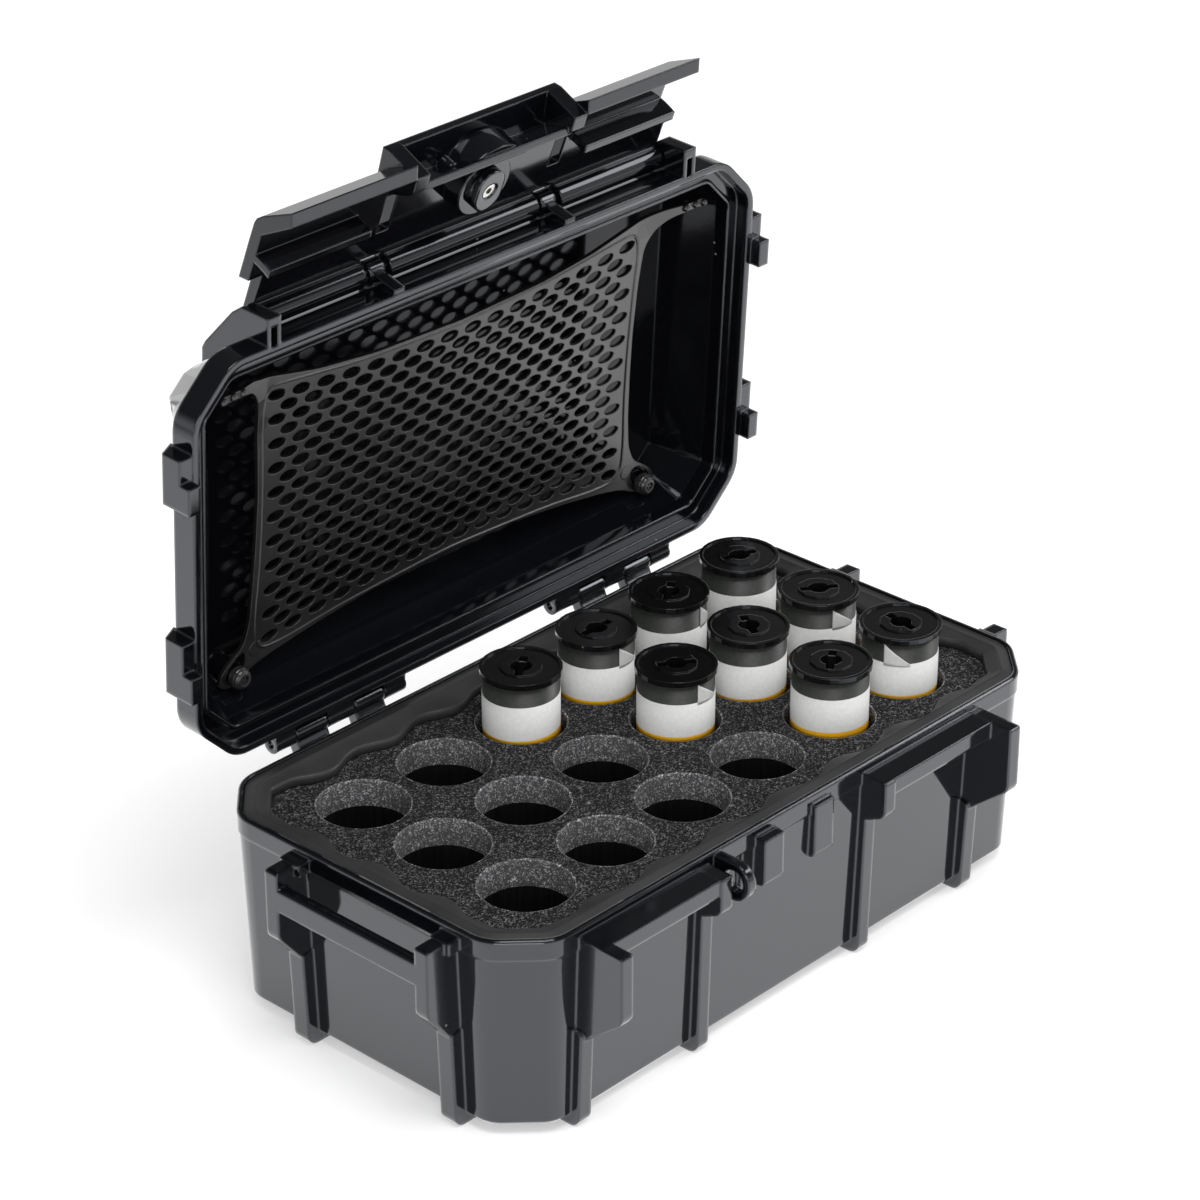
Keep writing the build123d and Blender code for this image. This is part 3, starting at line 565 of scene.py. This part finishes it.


# Foam block, bored for the rolls. Its two finishes are the flat face and the cut walls of the sockets, whose paler
# face is painted light.
def makeFoam():
    foam = {"inset": 6.5 * mm, "edge": 0.5 * mm, "perSide": 14, "jitter": 0.09 * mm, "seed": 7, "rows": (-1, 0, 1),
            "columns": 6, "underside": 2.3 * mm, "cutBelow": 0.1 * mm}
    top, seam, bottom = case["foamTop"], case["foamTop"] - case["layerDepth"], case["rollBottom"]
    pitchX, pitchY, perSide = case["pitchX"], case["pitchY"], foam["perSide"]
    # How much wider than the socket each level of its wall is, and its height.
    levels = [
        (foam["edge"], top), (0.15 * mm, top - 0.12 * mm), (0.0, top - 0.5 * mm), (0.0, top - 3.0 * mm),
        (0.05 * mm, top - 6.0 * mm), (0.0, seam + 0.15 * mm), (0.2 * mm, seam), (0.0, seam - 0.2 * mm),
        (0.0, seam - 12 * mm), (0.05 * mm, bottom + 12 * mm), (0.0, bottom),
    ]
    rng = random.Random(foam["seed"])
    bm = bmesh.new()
    grid = {}

    # One shared vertex for each place on the edges between the cells, told apart to a micrometre.
    def cellVertex(x, y):
        key = (round(x * 1e6), round(y * 1e6))
        if key not in grid:
            grid[key] = bm.verts.new((x, y, top))
        return grid[key]

    # Places along a closed run of corners, each side divided into its own count of steps.
    def alongSides(corners, counts):
        for i, count in enumerate(counts):
            (x0, y0), (x1, y1) = corners[i], corners[(i + 1) % len(corners)]
            for k in range(count):
                yield i, k, x0 + (x1 - x0) * k / count, y0 + (y1 - y0) * k / count

    def joinRings(first, second):
        turned = zip(first, first[1:] + first[:1], second[1:] + second[:1], second)
        return [bm.faces.new(corners) for corners in turned]

    for row in foam["rows"]:
        for column in range(foam["columns"]):
            cx, cy = (column - 2.5) * pitchX, row * pitchY
            cell = [(cx + u * pitchX / 2, cy + v * pitchY / 2) for u, v in ((1, -1), (1, 1), (-1, 1), (-1, -1))]
            previous = [cellVertex(x, y) for i, k, x, y in alongSides(cell, [perSide] * 4)]
            sides = len(previous)
            for grow, z in levels:
                fresh = []
                for k in range(sides):
                    radius = case["socketR"] + grow + rng.uniform(-1, 1) * foam["jitter"]
                    fresh.append(bm.verts.new(onCircle(cx, cy, radius, 2 * math.pi * k / sides - math.pi / 4, z)))
                for face in joinRings(previous, fresh):
                    # Walls below the top take the paler foam, painted light.
                    face.material_index = 1 if z < top - foam["cutBelow"] else 0
                previous = fresh
            bm.faces.new(previous)

    # The margin between the cells and the outline of the block.
    halfX, halfY = foam["columns"] / 2 * pitchX, len(foam["rows"]) / 2 * pitchY
    reachX, reachY = case["rimX"] - foam["inset"], case["rimY"] - foam["inset"]
    leg = case["cornerLeg"] - foam["inset"] * (2 - math.sqrt(2))
    corners = [(halfX, -halfY), (halfX, halfY), (-halfX, halfY), (-halfX, -halfY)]
    counts = [len(foam["rows"]) * perSide, foam["columns"] * perSide] * 2
    inner, outer = [], []
    for i, k, x, y in alongSides(corners, counts):
        if k == 0:
            spot = (math.copysign(reachX - leg / 2, x), math.copysign(reachY - leg / 2, y))
        elif i % 2 == 0:
            spot = (math.copysign(reachX, x), max(-reachY + leg, min(reachY - leg, y)))
        else:
            spot = (max(-reachX + leg, min(reachX - leg, x)), math.copysign(reachY, y))
        inner.append(cellVertex(x, y))
        outer.append(bm.verts.new((*spot, top)))
    lowest = case["floorTop"] + foam["underside"]
    pull = (top - lowest) * math.tan(case["wallDraft"])
    low = [bm.verts.new((v.co.x - math.copysign(pull, v.co.x), v.co.y - math.copysign(pull, v.co.y), lowest))
           for v in outer]
    joinRings(inner, outer)
    joinRings(outer, low)
    bm.faces.new(low)
    bmesh.ops.recalc_face_normals(bm, faces=bm.faces)
    piece = newPiece(closeMesh(bm, "foamBlock"), ["foam", "paintedLitFoam"], "base")
    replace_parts(piece, "foam_floor", "foam_core", "foam_face")


# Turns a shape drawn on the shut lid to where the open lid holds it.
def openLid(tilt=0.0, pivotY=0.0, pivotZ=0.0):
    pivot = Matrix.Translation((0, pivotY, pivotZ))
    hinge = Matrix.Translation((0, case["hingeY"], case["hingeZ"]))
    return (hinge @ Matrix.Rotation(-case["lidOpen"], 4, "X") @ hinge.inverted()
            @ pivot @ Matrix.Rotation(tilt, 4, "X") @ pivot.inverted())


# A closed line through corner points, each corner cut by a small curve, with no step longer than longest.
def softLoop(corners, radius, curveSteps, longest):
    most = 0.49  # a curve takes just under half of a side
    points = []
    for i, here in enumerate(corners):
        toBefore, toAfter = corners[i - 1] - here, corners[(i + 1) % len(corners)] - here
        reach = min(radius, toBefore.length * most, toAfter.length * most)
        start, end = here + toBefore.normalized() * reach, here + toAfter.normalized() * reach
        for k in range(curveSteps + 1):
            t = k / curveSteps
            points.append(start * (1 - t) ** 2 + here * 2 * t * (1 - t) + end * t * t)
    result = []
    for i, here in enumerate(points):
        after = points[(i + 1) % len(points)]
        count = max(1, math.ceil((after - here).length / longest))
        result += [here.lerp(after, k / count) for k in range(count)]
    return result


# Geometry Nodes for the pad: its outline is filled, with two grids of oval holes, and given its thickness.
def netTree(net):
    tree = bpy.data.node_groups.new("netPerforation", "GeometryNodeTree")
    tree.interface.new_socket(name="Outline", in_out="INPUT", socket_type="NodeSocketGeometry")
    for label in ("holeLong", "holeShort", "pitchX", "pitchY", "stretchX", "stretchY", "thick",
                  "columns", "rows", "sides"):
        kind = "NodeSocketInt" if isinstance(net[label], int) else "NodeSocketFloat"
        tree.interface.new_socket(name=label, in_out="INPUT", socket_type=kind).default_value = net[label]
    tree.interface.new_socket(name="Pad", in_out="OUTPUT", socket_type="NodeSocketGeometry")
    given = tree.nodes.new("NodeGroupInput").outputs
    result = tree.nodes.new("NodeGroupOutput")

    def node(kind, sources=(), **settings):
        return addNode(tree, kind, sources, **settings).outputs

    def times(first, second):
        return addMath(tree, "MULTIPLY", first, second)

    def oneLess(count):
        return addMath(tree, "SUBTRACT", count, 1.0)

    def holeGrid(columns, rows):
        wide, high = times(oneLess(columns), given["pitchX"]), times(oneLess(rows), given["pitchY"])
        return node("GeometryNodeMeshGrid", [("Size X", wide), ("Size Y", high), ("Vertices X", columns),
                                             ("Vertices Y", rows)])["Mesh"]

    full = holeGrid(given["columns"], given["rows"])
    between = holeGrid(oneLess(given["columns"]), oneLess(given["rows"]))
    grid = node("GeometryNodeJoinGeometry", [(0, full), (0, between)])[0]
    # The rows bow with the drawn-in edges of the pad.
    place = node("ShaderNodeSeparateXYZ", [(0, node("GeometryNodeInputPosition")[0])])
    x, y = place["X"], place["Y"]
    shiftX = addMath(tree, "ADD", 1.0, times(given["stretchX"], times(y, y)))
    shiftY = addMath(tree, "ADD", 1.0, times(given["stretchY"], times(x, x)))
    bowed = node("ShaderNodeCombineXYZ", [("X", times(x, shiftX)), ("Y", times(y, shiftY))])[0]
    turn = node("ShaderNodeCombineXYZ", [("Z", times(2.0, times(given["stretchY"], times(x, y))))])[0]
    turned = node("GeometryNodeStoreNamedAttribute", [("Geometry", grid), ("Name", "rowTurn"), ("Value", turn)],
                  data_type="FLOAT_VECTOR", domain="POINT")[0]
    moved = node("GeometryNodeSetPosition", [("Geometry", turned), ("Position", bowed)])[0]
    ring = node("GeometryNodeCurvePrimitiveCircle", [("Resolution", given["sides"]), ("Radius", 0.5)])["Curve"]
    size = node("ShaderNodeCombineXYZ", [("X", given["holeLong"]), ("Y", given["holeShort"]), ("Z", 1.0)])[0]
    spin = node("GeometryNodeInputNamedAttribute", [("Name", "rowTurn")], data_type="FLOAT_VECTOR")["Attribute"]
    holes = node("GeometryNodeInstanceOnPoints", [("Points", moved), ("Instance", ring), ("Rotation", spin),
                                                  ("Scale", size)])[0]
    realHoles = node("GeometryNodeRealizeInstances", [("Geometry", holes)])[0]
    outline = node("GeometryNodeMeshToCurve", [("Mesh", given["Outline"])])[0]
    lines = node("GeometryNodeJoinGeometry", [(0, outline), (0, realHoles)])[0]
    face = node("GeometryNodeFillCurve", [("Curve", lines)])[0]
    raised = node("GeometryNodeExtrudeMesh", [("Mesh", face), ("Offset Scale", given["thick"]),
                                              ("Individual", False)])["Mesh"]
    under = node("GeometryNodeFlipFaces", [("Mesh", face)])[0]
    pad = node("GeometryNodeJoinGeometry", [(0, raised), (0, under)])[0]
    welded = node("GeometryNodeMergeByDistance", [("Geometry", pad), ("Distance", 0.01 * mm)])[0]
    real = node("GeometryNodeRealizeInstances", [("Geometry", welded)])[0]
    dressed = node("GeometryNodeSetMaterial", [("Geometry", real), ("Material", finishes["net"])])[0]
    feed(tree, result, [(0, dressed)])
    return tree


# Net pad in the lid. It is drawn flat on the shut lid, with the lid's own depth pointing up.
def makeNet():
    net = {
        "holeLong": 7.0 * mm, "holeShort": 3.5 * mm, "pitchX": 9.45 * mm, "pitchY": 7.1 * mm,
        "stretchX": 12.0, "stretchY": 28.0, "thick": 1.4 * mm, "columns": 16, "rows": 11, "sides": 18,
        "depth": 15.6 * mm, "tilt": math.radians(2.5), "screwY": 49.0 * mm, "soft": 2.6 * mm, "step": 3.0 * mm,
        "ridgeWide": 0.8 * mm, "ridgeHigh": 0.35 * mm, "ridgeSunk": 0.2 * mm, "ridgeSoft": 9 * mm,
        "ridgeStep": 4.0 * mm,
        "eyeX": 87.2 * mm, "eyeY": 46.6 * mm, "eyeLong": 4.9 * mm, "eyeWide": 3.1 * mm, "eyeStraight": 0.6 * mm,
        "eyeLean": math.radians(42), "eyeSides": 24, "eyeMiddle": 0.1,
        "offSide": 3.0 * mm, "offSideFrom": 60 * mm, "offSideEnd": 87 * mm, "offSideFade": 8 * mm,
        "strapStart": 76.0 * mm, "strapRun": 20 * mm, "strapReach": 5.0 * mm, "strapLow": -28 * mm,
        "strapFade": 14 * mm, "strapCut": 83.0 * mm, "strapEnd": 93.0 * mm, "strapY": -49.0 * mm,
        "beadR": 1.25 * mm, "beadHigh": 0.2 * mm, "beadSides": 12, "beadRings": 8,
        "markHigh": 0.12 * mm, "markSunk": 0.1 * mm, "markSides": 20,
    }
    # Halves of the pad's outline and of the raised line, and the beads and mould marks, in millimetres.
    outlineHalf = [
        (0, -39.4), (34, -40.6), (56, -43.2), (70, -46.2), (78, -48.0), (87, -50.0), (96, -50.6), (101, -50.4),
        (101, -47.8), (95, -48.2), (88, -47.0), (82.8, -43.6), (79.8, -38), (78.6, -24), (78.0, -8), (78.4, 8),
        (79.2, 22), (80.6, 33), (83.6, 39.4), (88.5, 42.4), (93.6, 46.4), (94.4, 51.2), (90.4, 52.6), (84.6, 51.6),
        (79, 48.6), (70, 46.4), (52, 43.6), (28, 41.0), (0, 40.2),
    ]
    ridgeHalf = [(0, -38.4), (40, -40.2), (66, -43.4), (76, -44.4), (77.2, -36), (76.4, -20), (76.0, 0),
                 (76.6, 18), (77.8, 31), (77.4, 43.4), (66, 43.8), (44, 41.2), (0, 39.0)]
    beads = [(92.6, -49.4), (96.6, -49.6), (100.4, -49.2)]
    marks = [(80.2, -45.4, 2.1), (80.4, 42.6, 2.4)]

    def wholeLoop(half, radius, curveSteps, longest):
        corners = half + [(-x, y) for x, y in reversed(half[1:-1])]
        return softLoop([Vector((x * mm, y * mm, 0)) for x, y in corners], radius, curveSteps, longest)

    # The long eyes at the lower corners, lying along the pull of the pad.
    def eye(side):
        points = []
        lean = net["eyeLean"]
        for k in range(net["eyeSides"]):
            angle = 2 * math.pi * k / net["eyeSides"]
            long, wide = net["eyeLong"] * math.cos(angle), net["eyeWide"] * math.sin(angle)
            if abs(math.cos(angle)) > net["eyeMiddle"]:
                long += math.copysign(net["eyeStraight"], math.cos(angle))
            x = net["eyeX"] + long * math.cos(lean) - wide * math.sin(lean)
            y = net["eyeY"] + long * math.sin(lean) + wide * math.cos(lean)
            points.append(Vector((side * x, y, 0)))
        return points

    vertices, edges = [], []
    for loop in (wholeLoop(outlineHalf, net["soft"], 4, net["step"]), eye(1), eye(-1)):
        first = len(vertices)
        vertices += [tuple(v) for v in loop]
        edges += [(first + k, first + (k + 1) % len(loop)) for k in range(len(loop))]
    base = bpy.data.meshes.new("netOutline")
    base.from_pydata(vertices, edges, [])
    carrier = bpy.data.objects.new("netCarrier", base)
    bpy.context.scene.collection.objects.link(carrier)
    modifier = carrier.modifiers.new("perforation", "NODES")
    modifier.node_group = netTree(net)
    for item in modifier.node_group.interface.items_tree:
        if item.in_out == "INPUT" and item.name in net:
            modifier[item.identifier] = net[item.name]
    shape = carrier.evaluated_get(bpy.context.evaluated_depsgraph_get())
    bm = bmesh.new()
    bm.from_mesh(bpy.data.meshes.new_from_object(shape))
    bpy.data.objects.remove(carrier)

    # A raised line runs round the field of holes.
    line = wholeLoop(ridgeHalf, net["ridgeSoft"], 6, net["ridgeStep"])
    high, sunk = Vector((0, 0, net["ridgeHigh"])), Vector((0, 0, net["ridgeSunk"]))
    rings = []
    for i, here in enumerate(line):
        along = (line[(i + 1) % len(line)] - line[i - 1]).normalized()
        across = Vector((-along.y, along.x, 0)) * net["ridgeWide"] / 2
        spots = [here - across, here - across * 0.5 - high, here + across * 0.5 - high, here + across, here + sunk]
        rings.append([bm.verts.new(spot) for spot in spots])
    for i, ring in enumerate(rings):
        after = rings[(i + 1) % len(rings)]
        for k in range(5):
            bm.faces.new((ring[k], after[k], after[(k + 1) % 5], ring[(k + 1) % 5]))

    # The pad hangs a little nearer to the left side.
    for vertex in bm.verts:
        reach = -vertex.co.x
        share = max(0.0, min(1.0, reach / net["offSideFrom"], (net["offSideEnd"] - reach) / net["offSideFade"]))
        vertex.co.x -= net["offSide"] * share

    # The straps at the upper corners bend forward to the rim, and end in three beads.
    def strapBend(x, y):
        fade = max(0.0, min(1.0, (net["strapLow"] - y) / net["strapFade"]))
        return net["strapReach"] * smoothShare((abs(x) - net["strapStart"]) / net["strapRun"]) * fade

    for vertex in bm.verts:
        vertex.co.z -= strapBend(vertex.co.x, vertex.co.y)
    for side in (-1, 1):
        for x, y in beads:
            centre = Vector((side * x * mm, y * mm, -strapBend(x * mm, y * mm) - net["beadHigh"]))
            bmesh.ops.create_uvsphere(bm, u_segments=net["beadSides"], v_segments=net["beadRings"],
                                      radius=net["beadR"], matrix=Matrix.Translation(centre))
        # Two round marks left by the mould.
        for x, y, r in marks:
            count = net["markSides"]
            angles = [2 * math.pi * k / count for k in range(count)]
            ring, back = ([bm.verts.new(onCircle(side * x * mm, y * mm, r * mm, angle, z)) for angle in angles]
                          for z in (-net["markHigh"], net["markSunk"]))
            bm.faces.new(ring)
            bm.faces.new(list(reversed(back)))
            for k in range(count):
                bm.faces.new((ring[k], back[k], back[(k + 1) % count], ring[(k + 1) % count]))
    bmesh.ops.recalc_face_normals(bm, faces=bm.faces)

    # The straps are pieces of their own, on no body, because their ends stay at the lid's rim when the pad gives.
    for side in (-1, 1):
        bmesh.ops.bisect_plane(bm, geom=list(bm.verts) + list(bm.edges) + list(bm.faces),
                               plane_co=(side * net["strapCut"], 0, 0), plane_no=(1, 0, 0))
    partOf = bm.faces.layers.int.new("partNumber")
    for face in bm.faces:
        centre = face.calc_center_median()
        if abs(centre.x) > net["strapCut"] and centre.y < 0:
            face[partOf] = 1 if centre.x > 0 else 2
    level = case["mate"] + net["depth"]
    place = openLid(net["tilt"], net["screwY"], level + net["thick"] / 2) @ Matrix.Translation((0, 0, level))
    bmesh.ops.transform(bm, matrix=place, verts=bm.verts)
    for number, (name, side) in enumerate((("netPad", 0), ("netStrapRight", 1), ("netStrapLeft", -1))):
        part = bm.copy()
        layer = part.faces.layers.int["partNumber"]
        bmesh.ops.delete(part, geom=[face for face in part.faces if face[layer] != number], context="FACES")
        mesh = closeMesh(part, name)
        for face in mesh.polygons:
            face.material_index = 0
        if side == 0:
            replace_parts(newPiece(mesh, ["net"], "net"), "lid_net")
        else:
            strap = newPiece(mesh, ["net"])
            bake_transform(strap)
    bm.free()


# Screws of the net, on raised seats.
def makeNetScrews():
    screw = {"x": 88.0 * mm, "y": 49.0 * mm, "top": 11.5 * mm, "sides": 32, "crossLong": 2.508 * mm,
             "crossWide": 0.5 * mm, "crossDepths": (0.36 * mm, 1.0 * mm), "crossTurns": (20, 110)}
    # Radius, and depth under the top of the head: recess, rounded head, seat and shank.
    profile = [(1.35, 0.9), (1.5, 0.02), (2.1, 0.05), (2.8, 0.45), (3.15, 0.95), (3.2, 1.5), (3.3, 1.52),
               (3.45, 1.8), (3.45, 3.7), (1.5, 3.7), (1.5, 5.7)]
    sides, top = screw["sides"], case["mate"] + screw["top"]
    bm = bmesh.new()
    for side in (-1, 1):
        cx, cy = side * screw["x"], screw["y"]
        angles = [2 * math.pi * k / sides for k in range(sides)]
        rings = [[bm.verts.new(onCircle(cx, cy, radius * mm, angle, top + deep * mm)) for angle in angles]
                 for radius, deep in profile]
        for first, second in zip(rings, rings[1:]):
            for k in range(sides):
                after = (k + 1) % sides
                bm.faces.new((first[k], second[k], second[after], first[after]))
        bm.faces.new(rings[0])
        bm.faces.new(list(reversed(rings[-1])))
        # The cross stands as four lobes of the recess floor.
        for turn in map(math.radians, screw["crossTurns"]):
            long = Vector((math.cos(turn), math.sin(turn))) * screw["crossLong"] / 2
            wide = Vector((-math.sin(turn), math.cos(turn))) * screw["crossWide"] / 2
            corners = []
            for deep in screw["crossDepths"]:
                for u, v in ((1, 1), (-1, 1), (-1, -1), (1, -1)):
                    spot = long * u + wide * v
                    corners.append(bm.verts.new((cx + spot.x, cy + spot.y, top + deep)))
            for quad in ((0, 1, 2, 3), (7, 6, 5, 4), (0, 4, 5, 1), (1, 5, 6, 2), (2, 6, 7, 3), (3, 7, 4, 0)):
                bm.faces.new([corners[k] for k in quad])
    bmesh.ops.recalc_face_normals(bm, faces=bm.faces)
    bmesh.ops.transform(bm, matrix=openLid(), verts=bm.verts)
    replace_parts(newPiece(closeMesh(bm, "netScrewHeads"), ["blackSteel"], "lid"), "net_screws")


# Each roll's socket, the degree where its label's flap starts, and how far its label has slid up, in millimetres.
rolls = {
    "back_3": ((2, 1), None, 0.5), "back_4": ((3, 1), -101, 0.1), "back_5": ((4, 1), -83, -0.3),
    "back_6": ((5, 1), None, -0.4), "middle_4": ((3, 0), -105, 0.2), "middle_5": ((4, 0), None, 0.0),
    "middle_6": ((5, 0), -118, 0.1), "front_5": ((4, -1), None, 0.7), "front_6": ((5, -1), -165, -0.2),
}


# Film roll: backing paper on a spool, with a label, the band under it and a well in its top, painted near black as
# painted shade.
def makeRoll(name, socket, flapAngle, slide, seed):
    wrap = {
        "radius": 11.75 * mm, "paper": 0.14 * mm, "top": 78.3 * mm, "labelTop": 71.6 * mm, "labelLow": 60.4 * mm,
        "bandLow": 56.4 * mm, "bottom": 17.4 * mm, "wellR": 5.6 * mm, "wellDeep": 15.0 * mm, "askew": 0.5 * mm,
        "hair": 0.01 * mm, "steps": 96,
        # The last finish, deep, is the painted shade of the well.
        "finishes": ["backing", "label", "band", "deep"], "levels": (0, 2, 2, 1, 1, 1, 0, 0, 3, 3),
    }
    flap = {"wide": math.radians(40), "columns": 18, "rows": 6, "thick": 0.06 * mm, "under": 0.2 * mm,
            "over": 0.4 * mm, "tuck": 0.5 * mm, "near": 0.02 * mm, "curl": 0.14 * mm}
    dress("spool", "spool_" + name)
    askewTo = random.Random(seed).uniform(-math.pi, 0.0)
    cx, cy = (socket[0] - 2.5) * case["pitchX"], socket[1] * case["pitchY"]
    steps = wrap["steps"]
    core, skin = wrap["radius"], wrap["radius"] + wrap["paper"]
    top, well, hair, askew = wrap["top"], wrap["wellR"], wrap["hair"], wrap["askew"]
    labelTop, labelLow = wrap["labelTop"] + slide * mm, wrap["labelLow"] + slide * mm

    def ring(radius, z, askew=0.0):
        angles = [2 * math.pi * k / steps for k in range(steps)]
        return [onCircle(cx, cy, radius, angle, z + askew * math.cos(angle - askewTo)) for angle in angles]

    # The levels in wrap say which finish the faces above each of these rings have.
    mesh = smoothMesh("wrap_" + name, *ringSkin([
        ring(core, wrap["bottom"]), ring(core, wrap["bandLow"]), ring(skin, wrap["bandLow"] + hair),
        ring(skin, labelLow, askew), ring(skin, labelLow + hair, askew), ring(skin, labelTop, askew * 0.5),
        ring(core, labelTop + 2 * hair, askew * 0.5), ring(core, top), ring(well, top),
        ring(well, top - wrap["wellDeep"])]))
    for face in mesh.polygons:
        face.use_smooth = len(face.vertices) == 4
        face.material_index = wrap["levels"][min(face.vertices) // steps]
    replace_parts(newPiece(mesh, wrap["finishes"], "roll_" + name), "film_" + name)
    if flapAngle is None:
        return

    # The end flap of the label: one upright edge, and a top edge that falls away from it.
    points, quads = [], []
    highest, lowest = top - flap["under"], labelTop - flap["tuck"]
    columns, rows = flap["columns"], flap["rows"]
    for i in range(columns + 1):
        share = i / columns
        angle = math.radians(flapAngle) + flap["wide"] * share
        topZ = highest + (labelTop + flap["over"] - top) * share
        for j in range(rows + 1):
            radius = skin + flap["near"] + flap["curl"] * share * j / rows
            points.append(onCircle(cx, cy, radius, angle, lowest + (topZ - lowest) * j / rows))
            if i < columns and j < rows:
                a = i * (rows + 1) + j
                quads.append((a, a + rows + 1, a + rows + 2, a + 1))
    piece = newPiece(smoothMesh("flap_" + name, points, quads), ["label"], "roll_" + name)
    solid = piece.modifiers.new("thick", "SOLIDIFY")
    solid.thickness = flap["thick"]
    solid.offset = 1.0


makeLiner()
print("liner made")
makeFoam()
print("foam made")
makeNet()
makeNetScrews()
print("net made")
for seed, (roll, (socket, flapAngle, slide)) in enumerate(rolls.items()):
    makeRoll(roll, socket, flapAngle, slide, seed)
print("film rolls made")
